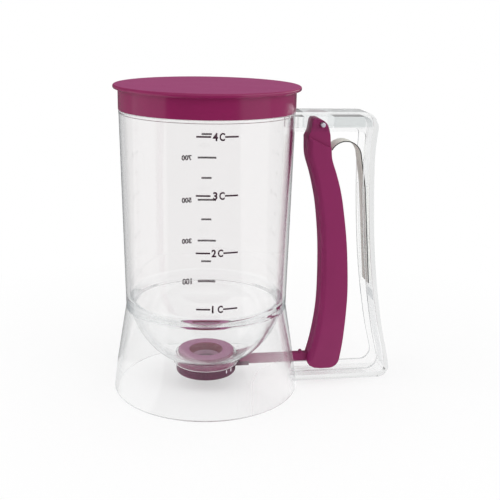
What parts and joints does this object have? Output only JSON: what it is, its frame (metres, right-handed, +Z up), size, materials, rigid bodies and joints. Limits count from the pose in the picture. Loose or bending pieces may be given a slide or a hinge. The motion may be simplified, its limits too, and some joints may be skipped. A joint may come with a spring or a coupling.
{
  "type": "pancake batter dispenser",
  "caption": "Clear hand-held batter dispenser with a funnel bottom on a flared base, push-on lid, and a sprung trigger in the handle that slides a gate off the outlet.",
  "frame": {"origin": "under the middle of the whole object, on the surface that it stands on; the jug's own axis is at x = -30.6 mm", "axes": "+Z up along the jug's axis, +X from the jug towards the handle, +Y across the handle"},
  "size_m": [0.1776, 0.1164, 0.1896],
  "materials": {
    "clear_body": "clear polished styrene plastic",
    "plum_trigger": "satin plum plastic",
    "plum_lid": "satin plum plastic",
    "plum_valve": "satin plum plastic",
    "seal": "soft silicone",
    "spring_steel": "bright rolled spring steel",
    "pin_steel": "bright steel"
  },
  "bodies": {
    "body": {"jug_wall": "clear_body", "funnel_bowl": "clear_body", "outlet_spigot": "clear_body", "base_skirt": "clear_body", "handle_top_arm": "clear_body", "handle_spine": "clear_body", "handle_bottom_arm": "clear_body", "spring_rail_near": "clear_body", "spring_rail_far": "clear_body", "pivot_pin": "pin_steel", "leaf_spring_leg": "spring_steel", "valve_seat": "plum_valve", "valve_cap": "plum_valve", "seal_ring": "seal"},
    "lid": {"lid_cover": "plum_lid"},
    "trigger": {"trigger_lever": "plum_trigger"},
    "rod": {"push_rod": "plum_trigger", "gate_plate": "plum_valve"},
    "spring_arm": {"leaf_spring_arch": "spring_steel"}
  },
  "joints": [
    {"name": "lid_lift", "type": "slide", "parent": "body", "child": "lid", "axis": [0, 0, 1], "range_m": [0, 0.03]},
    {"name": "trigger_pivot", "type": "hinge", "parent": "body", "child": "trigger", "pos_m": [0.0384, 0, 0.1665], "axis": [0, -1, 0], "range_deg": [0, 6.5], "stiffness_Nm_per_rad": 4, "springref_deg": -4.58},
    {"name": "rod_slide", "type": "slide", "parent": "body", "child": "rod", "axis": [1, 0, 0], "range_m": [0, 0.0173]},
    {"name": "spring_flex", "type": "hinge", "parent": "body", "child": "spring_arm", "pos_m": [0.0667, 0, 0.1284], "axis": [0, 1, 0], "range_deg": [0, 4.2]}
  ],
  "couplings": [
    {"joint": "rod_slide", "follows": "trigger_pivot", "m_per_rad": 0.1513},
    {"joint": "spring_flex", "follows": "trigger_pivot", "ratio": 0.62}
  ]
}
